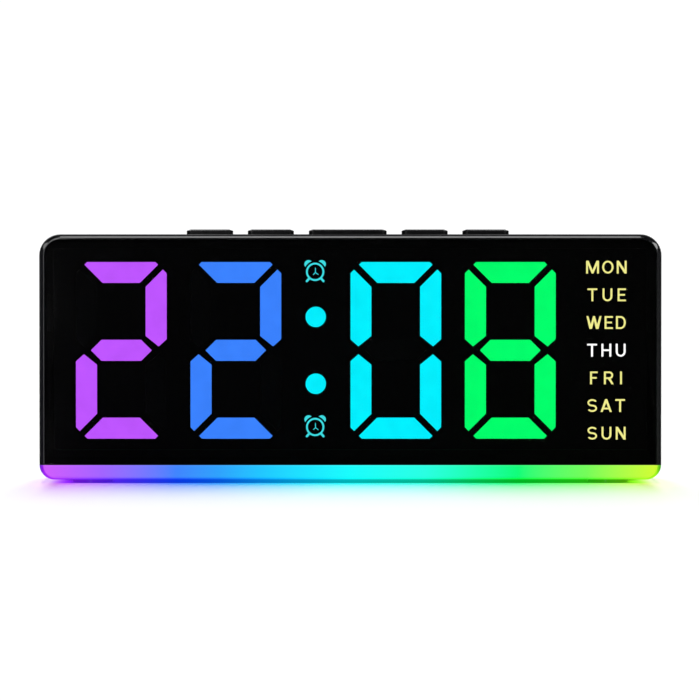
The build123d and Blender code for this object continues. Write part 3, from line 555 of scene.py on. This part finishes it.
def past_edges(tree, signs, edges):
    """How far a place lies past an edge, axis by axis: outwards of the low edge and of its mirror
    image where the sign is 1, below it where the sign is -1."""
    place = vector_math(tree, "ABSOLUTE", object_place(tree))["Vector"]
    signed = vector_math(tree, "MULTIPLY", place, signs)["Vector"]
    return vector_math(tree, "ADD", signed, edges)["Vector"]


def end_shade_band(tree):
    """1 in a band of painted shade along the base's ends and lower edge, 0 inside it."""
    inner_radius = base_corner - low_shade_width
    inner_end = cad_low.x + base_corner + end_shade_width - low_shade_width
    past = past_edges(tree, (1, 0, -1), (inner_end, 0, base_low + base_corner))
    corner = vector_math(tree, "MAXIMUM", past)["Vector"]
    distance = vector_math(tree, "LENGTH", corner)["Value"]
    return spread(tree, distance, beside(inner_radius, (-band_blur, band_blur)), (0, 1))


def outer_faces(tree):
    """1 on the outer faces of the base, and the hollow's share of its light inside the walls."""
    walls = (cad_low.x + base_end_wall, cad_low.y + base_wall, base_low + base_floor)
    past = axes_of(tree, past_edges(tree, (1, 1, -1), walls))
    level = combined(tree, "MAXIMUM", past["X"], past["Y"])
    farthest = combined(tree, "MAXIMUM", level, past["Z"])
    return spread(tree, farthest, (band_blur, 2 * band_blur), (hollow_light, 1))


def lit_base(slot, front_shade_share, back_shade_share, strength):
    """Milky plastic lit from inside; on the feet its light is painted light. Its colour is deepened
    by painted shade behind the front face, low down and along the ends, and lightened by a painted
    highlight line along the upper edge. Its light varies along the underside, is dim in the hollow,
    and is off as painted shadow under the case and on the inner side of each face."""
    material, tree, shader = new_finish(slot)
    place = axes_of(tree, object_place(tree))
    depth, height = place["Y"], place["Z"]
    along = spread(tree, place["X"], (cad_low.x, cad_high.x), (0, 1))
    colour = ramp(tree, along, base_colours)

    # Painted shade: the colour multiplied by itself behind the front face, low down and in the end
    # band
    behind = spread(tree, depth, beside(cad_low.y, painted_shade_behind), (front_shade_share, back_shade_share))
    low = spread(tree, height, beside(base_low, painted_shade_above), (back_shade_share, 0))
    painted_shade = combined(tree, "MAXIMUM", combined(tree, "MAXIMUM", behind, low), end_shade_band(tree))
    shaded_colour = mixed(tree, painted_shade, colour, colour, "MULTIPLY")
    # Painted highlight: a pale line along the upper edge, added to the colour
    line = spread(tree, height, beside(base_top, painted_highlight_below), (0, painted_highlight_level))
    tree.links.new(mixed(tree, line, shaded_colour, white, "ADD"), shader.inputs["Emission Color"])

    below = greys(tree, along, [(share, strength * level) for share, level in base_below])
    above = spread(tree, height, beside(base_low, underside_above), (0, 1))
    light = mixed(tree, above, below, strength)
    # Painted shadow: the light is off in a thin band under the case
    case_shadow = spread(tree, height, beside(base_top, case_shadow_below), (1, 0))
    inner_side = tree.nodes.new("ShaderNodeNewGeometry").outputs["Backfacing"]
    for share in (case_shadow, outer_faces(tree), spread(tree, inner_side, (0, 1), (1, 0))):
        light = combined(tree, "MULTIPLY", light, share)
    tree.links.new(light, shader.inputs["Emission Strength"])

    shader.inputs["Base Color"].default_value = unlit_body
    shader.inputs["Specular IOR Level"].default_value = base_specular
    tree.links.new(clouds(tree, base_cloud, base_roughness), shader.inputs["Roughness"])
    relief(tree, shader, base_grain, base_relief)
    return material


def smoked_lens(slot):
    """Polished dark acrylic that lets the display through."""
    material, tree, shader = new_finish(slot)
    cloud = clouds(tree, lens_cloud)
    tones = ramp(tree, cloud, [(0, lens_dark), (1, lens_light)])
    tree.links.new(tones, shader.inputs["Base Color"])
    tree.links.new(spread(tree, cloud, (0, 1), lens_roughness), shader.inputs["Roughness"])
    shader.inputs["Alpha"].default_value = lens_alpha
    return material


def striped(slot, colour, pitch, axis, roughness):
    """Bands along an axis: the wires of a ribbon or the tracks of a board."""
    material, tree, shader = new_finish(slot)
    wave = tree.nodes.new("ShaderNodeTexWave")
    wave.bands_direction = axis
    wave.inputs["Scale"].default_value = band_length / pitch
    tree.links.new(object_place(tree), wave.inputs["Vector"])
    bands = wave.outputs["Fac"]
    tones = ramp(tree, bands, [(place, shaded(colour, share)) for place, share in stripe_tones])
    tree.links.new(tones, shader.inputs["Base Color"])
    tree.links.new(spread(tree, bands, (0, 1), roughness), shader.inputs["Roughness"])
    return material


materials = {
    slot: surface(slot, slot_colours[slot], *values) for slot, values in finishes.items()
}
matt_beyond(materials["case_plastic"], "Y", cad_low.y + polish_depth)
matt_beyond(materials["key_plastic"], "Z", cad_high.z - polish_drop)
for slot, colour in filling_colours.items():
    materials[slot] = lit_filling(slot, colour, display_strength)
for slot, values in lit_slots.items():
    materials[slot] = lit_base(slot, *values)
for slot, values in striped_slots.items():
    materials[slot] = striped(slot, slot_colours[slot], *values)
materials["lens_acrylic"] = smoked_lens("lens_acrylic")

for part in frame["record"]["subparts"]:
    mesh = nodes[part["node"]].data
    mesh.materials.clear()
    mesh.materials.append(materials[part["material_slot"]])


def add_piece(name, mesh, material):
    """Puts a finished mesh into the scene as a piece of the clock."""
    mesh.materials.append(material)
    piece = bpy.data.objects.new(name, mesh)
    bpy.context.scene.collection.objects.link(piece)
    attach(piece, "clock")


def cell_heights(node):
    """Heights of the middles of a node's separate cells, from the lowest up."""
    levels = sorted({round(vertex.co.z, cell_digits) for vertex in nodes[node].data.vertices})
    return [(low + high) / 2 for low, high in zip(levels[::2], levels[1::2])]


def upright(flat, middle, front):
    """A point drawn flat, set upright on the film so that it faces the viewer."""
    return Vector((middle[0] + flat[0], front - flat[2], middle[1] + flat[1]))


# The film's front face carries the ink
ink_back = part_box("segment_mask")[0].y


def ink_mesh(name, shapes, middle):
    """Flat printed shapes, each an outline and the outline of its opening or None, upright on the
    film."""
    ink = bmesh.new()

    def ring(points, height):
        return [ink.verts.new(upright((u, v, height), middle, ink_back)) for u, v in points]

    def join(ring_a, ring_b):
        for number, vertex in enumerate(ring_a):
            ink.faces.new((ring_a[number - 1], vertex, ring_b[number], ring_b[number - 1]))

    for outline, opening in shapes:
        low, high = ring(outline, 0), ring(outline, ink_thickness)
        join(low, high)
        if opening is None:
            ink.faces.new(low)
            ink.faces.new(high)
        else:
            inner_low, inner_high = ring(opening, 0), ring(opening, ink_thickness)
            join(inner_low, inner_high)
            join(low, inner_low)
            join(high, inner_high)
    bmesh.ops.recalc_face_normals(ink, faces=ink.faces)
    mesh = bpy.data.meshes.new(name)
    ink.to_mesh(mesh)
    ink.free()
    return mesh


def arc(middle, radii, start, end, steps=arc_steps):
    """Points along an ellipse from one angle to another, in degrees."""
    angles = [math.radians(start + (end - start) * step / steps) for step in range(steps + 1)]
    across, up = radii
    return [(middle[0] + across * math.cos(a), middle[1] + up * math.sin(a)) for a in angles]


def loop(middle, radii):
    """Points around a whole ellipse."""
    return arc(middle, radii, 0, 360, round_steps)[:-1]


def block(left, low, right, high):
    """A rectangle without an opening."""
    return [(left, low), (right, low), (right, high), (left, high)], None


def mirrored(points, width):
    """Points and, after them, their mirror images in reverse, about the middle of a letter."""
    return points + [(width - u, v) for u, v in reversed(points)]


def bowl(low, high, width, straight):
    """A stem-thick loop that is straight on the left and round on the right, as in D and R."""
    middle, tall = (straight, (low + high) / 2), (high - low) / 2
    outline = [(0, low), *arc(middle, (width - straight, tall), -90, 90), (0, high)]
    opening = [
        (stem, low + arm),
        *arc(middle, (width - straight - stem, tall - arm), -90, 90),
        (stem, high - arm),
    ]
    return outline, opening


def letter_shapes(letter, width):
    """Outlines of a plain capital without serifs, whose strokes meet without overlapping; its
    proportions are shares of its width, of the height of capitals or of the stem."""
    half, middle = width / 2, cap / 2
    match letter:
        case "I":
            return [block(0, 0, width, cap)]
        case "T":
            bar = block(0, cap - arm, width, cap)
            return [bar, block(half - stem / 2, 0, half + stem / 2, cap - arm)]
        case "E" | "F":
            arms = [(cap - arm, width), (middle - arm / 2, 0.88 * width), (0, width)]
            used = arms if letter == "E" else arms[:2]
            bars = [block(stem, low, end, low + arm) for low, end in used]
            return [block(0, 0, stem, cap)] + bars
        case "H":
            bar = block(stem, middle - arm / 2, width - stem, middle + arm / 2)
            return [block(0, 0, stem, cap), bar, block(width - stem, 0, width, cap)]
        case "O":
            centre = (half, middle)
            return [(loop(centre, centre), loop(centre, (half - stem, middle - arm)))]
        case "D":
            return [bowl(0, cap, width, 0.48 * width)]
        case "R":
            waist, foot = 0.41 * cap, width - 1.15 * stem
            head = bowl(waist, cap, 0.94 * width, 0.55 * width)
            leg = [(0.42 * width, waist), (foot, 0), (width, 0), (0.7 * width, waist)]
            return [head, block(0, 0, stem, waist), (leg, None)]
        case "U":
            centre = (half, half)
            outside = arc(centre, (half, half), 180, 360)
            inside = arc(centre, (half - stem, half - arm), 360, 180)
            outer = [(0, cap), *outside, (width, cap)]
            inner = [(width - stem, cap), *inside, (stem, cap)]
            return [(outer + inner, None)]
        case "S":
            tip = 25
            radii = (half - stem / 2, (cap - arm) / 4)
            upper, lower = (half, middle + radii[1]), (half, middle - radii[1])
            grown = tuple(radius + arm / 2 for radius in radii)
            shrunk = tuple(radius - arm / 2 for radius in radii)
            wide = arc(upper, shrunk, tip, 270) + arc(lower, grown, 90, tip - 180)[1:]
            narrow = arc(upper, grown, tip, 270) + arc(lower, shrunk, 90, tip - 180)[1:]
            return [(wide + narrow[::-1], None)]
        case "N":
            slant, cut = 0.31 * cap, 1.1 * stem
            side = [(0, 0), (0, cap), (cut, cap), (width - stem, slant), (width - stem, cap)]
            return [(side + [(width - u, cap - v) for u, v in side], None)]
        case "M":
            tip, notch, cut = half - 0.43 * stem, (half, 0.27 * cap), 1.3 * stem
            side = [(tip, 0), (stem, 0.67 * cap), (stem, 0), (0, 0), (0, cap), (cut, cap)]
            other_side = [(width - u, v) for u, v in reversed(side)]
            return [(side + [notch] + other_side, None)]
        case "W":
            fork, notch = (half, 0.66 * cap), (0.29 * width, 0.36 * cap)
            side = [(0.37 * width, 0), (0.2 * width, 0), (0, cap), (stem, cap), notch]
            side.append((half - stem / 2, cap))
            return [([fork] + mirrored(side, width), None)]
        case "A":
            foot, fork, bar_low = 1.1 * stem, 0.71 * cap, 0.2 * cap
            side = [(foot, 0), (0, 0), (half - 0.55 * stem, cap)]
            legs = [(half, fork)] + mirrored(side, width)
            levels = (bar_low, bar_low + arm)
            bar = [(foot + (half - foot) * level / fork, level) for level in levels]
            return [(legs, None), (mirrored(bar, width), None)]


def word_shapes(word, width):
    """Shapes of a word of the given width, its letters set apart evenly."""
    gap = (width - sum(letter_widths[letter] for letter in word)) / (len(word) - 1)
    start = -width / 2
    shapes = []
    for letter in word:
        for outlines in letter_shapes(letter, letter_widths[letter]):
            shapes.append([
                points and [(start + u, v - cap / 2) for u, v in points] for points in outlines
            ])
        start += letter_widths[letter] + gap
    return shapes


word_x = sum(corner.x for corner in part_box("weekday_diffusers")) / 2
word_ink = lit_filling("word_ink", word_colour, display_strength)
lit_word_ink = lit_filling("lit_word_ink", lit_word_colour, lit_word_boost * display_strength)
word_rows = zip(word_widths_and_shifts.items(), cell_heights("weekday_diffusers"))
for (word, (width, shift)), word_z in word_rows:
    name = f"weekday_{word.lower()}"
    mesh = ink_mesh(name, word_shapes(word, width), (word_x + shift, word_z + word_lift))
    add_piece(name, mesh, lit_word_ink if word == lit_word else word_ink)


def bell():
    """The right bell: a disc cut off by a wider circle about the middle of the ring."""
    across, up = bell_place
    distance = math.hypot(across, up)
    lean = math.degrees(math.atan2(up, across))
    along = (distance**2 + bell_gap_radius**2 - bell_radius**2) / (2 * distance)
    inner = math.degrees(math.acos(along / bell_gap_radius))
    outer = math.degrees(math.acos((distance - along) / bell_radius))
    dome = arc(bell_place, (bell_radius, bell_radius), lean - 180 + outer, lean + 180 - outer)
    seat = arc((0, 0), (bell_gap_radius, bell_gap_radius), lean + inner, lean - inner)
    return dome + seat[1:-1]


def leg():
    """The right leg: a short bar from the ring outwards, rounded at its end."""
    end = Vector(leg_end)
    lean = math.degrees(math.atan2(end.y, end.x))
    tip = arc(end, (leg_width / 2, leg_width / 2), lean - 90, lean + 90)
    aside = end.orthogonal().normalized() * leg_width / 2
    root = end.normalized() * math.sqrt(ring_radius**2 - (leg_width / 2) ** 2)
    return [tuple(root - aside), *tip, tuple(root + aside)]


def hands():
    """The hands: three bars that meet in one point, drawn as one outline."""
    middle = Vector(hand_middle)
    arms = [Vector(tip) - middle for tip in hand_tips]
    arms.sort(key=lambda one: math.atan2(one.y, one.x))
    points = []
    for one, following in zip(arms, arms[1:] + arms[:1]):
        along = one.normalized()
        aside = along.orthogonal() * hand_width / 2
        points += [middle + one - aside, middle + one + aside]
        # Half the turn to the next bar, and the corner that both form there
        between = along.angle_signed(following) % -math.tau / -2
        fork = Vector((math.cos(between), math.sin(between)))
        turned = Vector((along.x * fork.x - along.y * fork.y, along.x * fork.y + along.y * fork.x))
        points.append(middle + turned * hand_width / (2 * math.sin(between)))
    return [tuple(point) for point in points]


def symbol_shapes():
    """An alarm clock drawn in lines: ring, two bells, two legs and the hands."""
    ring = loop((0, 0), (ring_radius, ring_radius))
    face = loop((0, 0), (ring_radius - ring_line, ring_radius - ring_line))
    shapes = [(ring, face), (hands(), None)]
    for points in (bell(), leg()):
        shapes += [(points, None), ([(-u, v) for u, v in points], None)]
    return shapes


symbol_x = sum(corner.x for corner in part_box("alarm_diffusers")) / 2
symbol_ink = lit_filling("symbol_ink", symbol_colour, display_strength)
for row, symbol_z in zip(("lower", "upper"), cell_heights("alarm_diffusers")):
    name = f"alarm_symbol_{row}"
    mesh = ink_mesh(name, symbol_shapes(), (symbol_x + symbol_shift, symbol_z + symbol_lift))
    add_piece(name, mesh, symbol_ink)

# Snap domes of the keys, each shown as its own copy of the dome's mesh in place of the original
for joint in frame["record"]["behaviour"]["joints"]:
    for bent in joint.get("deforming_nodes", []):
        node = bent["node"]
        low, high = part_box(node)
        height = high.z - low.z
        dome = bpy.data.objects.new(f"flat_{node}", nodes[node].data.copy())
        bpy.context.scene.collection.objects.link(dome)
        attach(dome, "clock")
        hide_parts(node)
        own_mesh(dome)

# Desk: a plain pale floor
floor_paint = surface(
    "floor_paint",
    (floor_white,) * 3,
    rough_from=0.7,
    rough_to=0.8,
    grain=0.01,
    depth=0.0000001,
    metal=0,
    specular=0,
    mottle=0.005,
)
floor_mesh = bpy.data.meshes.new("floor")
floor_corners = [
    (floor_half * x, floor_half * y, cad_low.z) for x, y in ((-1, -1), (1, -1), (1, 1), (-1, 1))
]
floor_mesh.from_pydata(floor_corners, [], [(0, 1, 2, 3)])
floor_mesh.materials.append(floor_paint)
floor = bpy.data.objects.new("floor", floor_mesh)
bpy.context.scene.collection.objects.link(floor)
floor.visible_glossy = False


def add_light(kind, name, place, target):
    """A light at a place, turned to a target."""
    light = bpy.data.lights.new(name, kind)
    lamp = bpy.data.objects.new(name, light)
    lamp.location = place
    lamp.rotation_euler = (Vector(target) - Vector(place)).to_track_quat("-Z", "Y").to_euler()
    lamp.visible_camera = False
    bpy.context.scene.collection.objects.link(lamp)
    return lamp, light


# Daylight for the desk
middle = (cad_low + cad_high) / 2
for elevation, share in daylight:
    lean = math.radians(elevation)
    place = middle + Vector((0, math.cos(lean), math.sin(lean)))
    lamp, light = add_light("SUN", f"daylight_{elevation}", place, middle)
    light.energy = share * math.pi / (floor_white * math.sin(lean))
    light.angle = math.radians(daylight_spread)
    lamp.visible_glossy = False

# Soft boxes around the clock
for name, (outline, azimuth, elevation, spin, width, height, brightness) in soft_boxes.items():
    turn, lean = math.radians(azimuth), math.radians(elevation)
    level = math.cos(lean)
    direction = Vector((math.sin(turn) * level, -math.cos(turn) * level, math.sin(lean)))
    lamp, light = add_light("AREA", name, middle + soft_box_distance * direction, middle)
    lamp.rotation_euler.rotate_axis("Z", math.radians(spin))
    light.shape = outline
    light.size = width
    light.size_y = height
    filled = math.pi / 4 if outline == "ELLIPSE" else 1
    light.energy = brightness * math.pi * filled * width * height
    lamp.visible_diffuse = False
    lamp.visible_transmission = False


def light_sheet(name, height, ahead, colours, levels):
    """A sheet of light low above the desk, as long as the clock and past its ends: levels by metres
    ahead of the front, and colours and levels by metres from its left end."""
    front, back = ahead[0][0], ahead[-1][0]
    place = Vector((middle.x, cad_low.y - (front + back) / 2, cad_low.z + height))
    lamp, light = add_light("AREA", name, place, place - Vector((0, 0, 1)))
    light.shape = "RECTANGLE"
    light.size = clock_width + 2 * glow_overhang
    light.size_y = front - back
    light.energy = math.pi * light.size * light.size_y / floor_white
    light.use_nodes = True
    lamp.visible_glossy = False

    def along(stops):
        return [((glow_overhang + metres) / light.size, value) for metres, value in stops]

    tree = light.node_tree
    on_sheet = axes_of(tree, tree.nodes.new("ShaderNodeNewGeometry").outputs["Parametric"])
    colour = ramp(tree, on_sheet["X"], along(colours))
    level = greys(tree, on_sheet["X"], along(levels))
    depths = [((front - metres) / light.size_y, value) for metres, value in ahead]
    strength = combined(tree, "MULTIPLY", level, greys(tree, on_sheet["Y"], depths))
    glow = mixed(tree, 1, colour, strength, "MULTIPLY")
    tree.links.new(glow, tree.nodes["Emission"].inputs["Color"])


def from_right(stops):
    """Stops by metres inside the right end, turned into metres from the left end."""
    return [(clock_width - metres, value) for metres, value in reversed(stops)]


# Glow of the base on the desk, and the paler light under its ends and in front
inner_colours = base_colours[end_shade_stops:-end_shade_stops]
glow_colours = [(clock_width * share, colour) for share, colour in inner_colours]
glow_levels = glow_inside + from_right(glow_inside)
light_sheet("base_glow", glow_height, glow_ahead, glow_colours, glow_levels)
pale_colours = pale_left + from_right(pale_right)
end_levels = pale_end + from_right(pale_end)
light_sheet("end_glow", pale_height, pale_ahead, pale_colours, end_levels)
in_front = [(metres, level) for metres, level in pale_ahead if metres >= 0]
front_levels = pale_inside + from_right(pale_inside)
light_sheet("front_glow", front_height, in_front, pale_colours, front_levels)

# White surroundings to look at, dim ones to light with
world = bpy.data.worlds.new("studio")
bpy.context.scene.world = world
world.use_nodes = True
sky_tree = world.node_tree
backdrop = sky_tree.nodes["Background"]
backdrop.inputs["Color"].default_value = white
ray = sky_tree.nodes.new("ShaderNodeLightPath").outputs["Is Camera Ray"]
sky_strength = spread(sky_tree, ray, (0, 1), (room_strength, backdrop_strength))
sky_tree.links.new(sky_strength, backdrop.inputs["Strength"])

# Camera straight in front, a little below the clock's top, so that no top face shows
pixel_size = clock_width / clock_pixels
case_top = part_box("main_case")[1].z
aim_x = (photo_pixels / 2 - clock_middle_pixel) * pixel_size
aim_z = case_top - (photo_pixels / 2 - clock_top_pixel) * pixel_size
aim = Vector((aim_x, cad_low.y, aim_z))
camera_data = bpy.data.cameras.new("camera")
camera = bpy.data.objects.new("camera", camera_data)
bpy.context.scene.collection.objects.link(camera)
camera.location = (aim_x, cad_low.y - camera_distance, camera_height)
camera.rotation_euler = (aim - camera.location).to_track_quat("-Z", "Y").to_euler()
camera_data.sensor_width = sensor_width
camera_data.lens = sensor_width * camera_distance / (photo_pixels * pixel_size)
camera_data.clip_start = camera_nearest
bpy.context.scene.camera = camera
bpy.context.scene.view_settings.view_transform = "Standard"
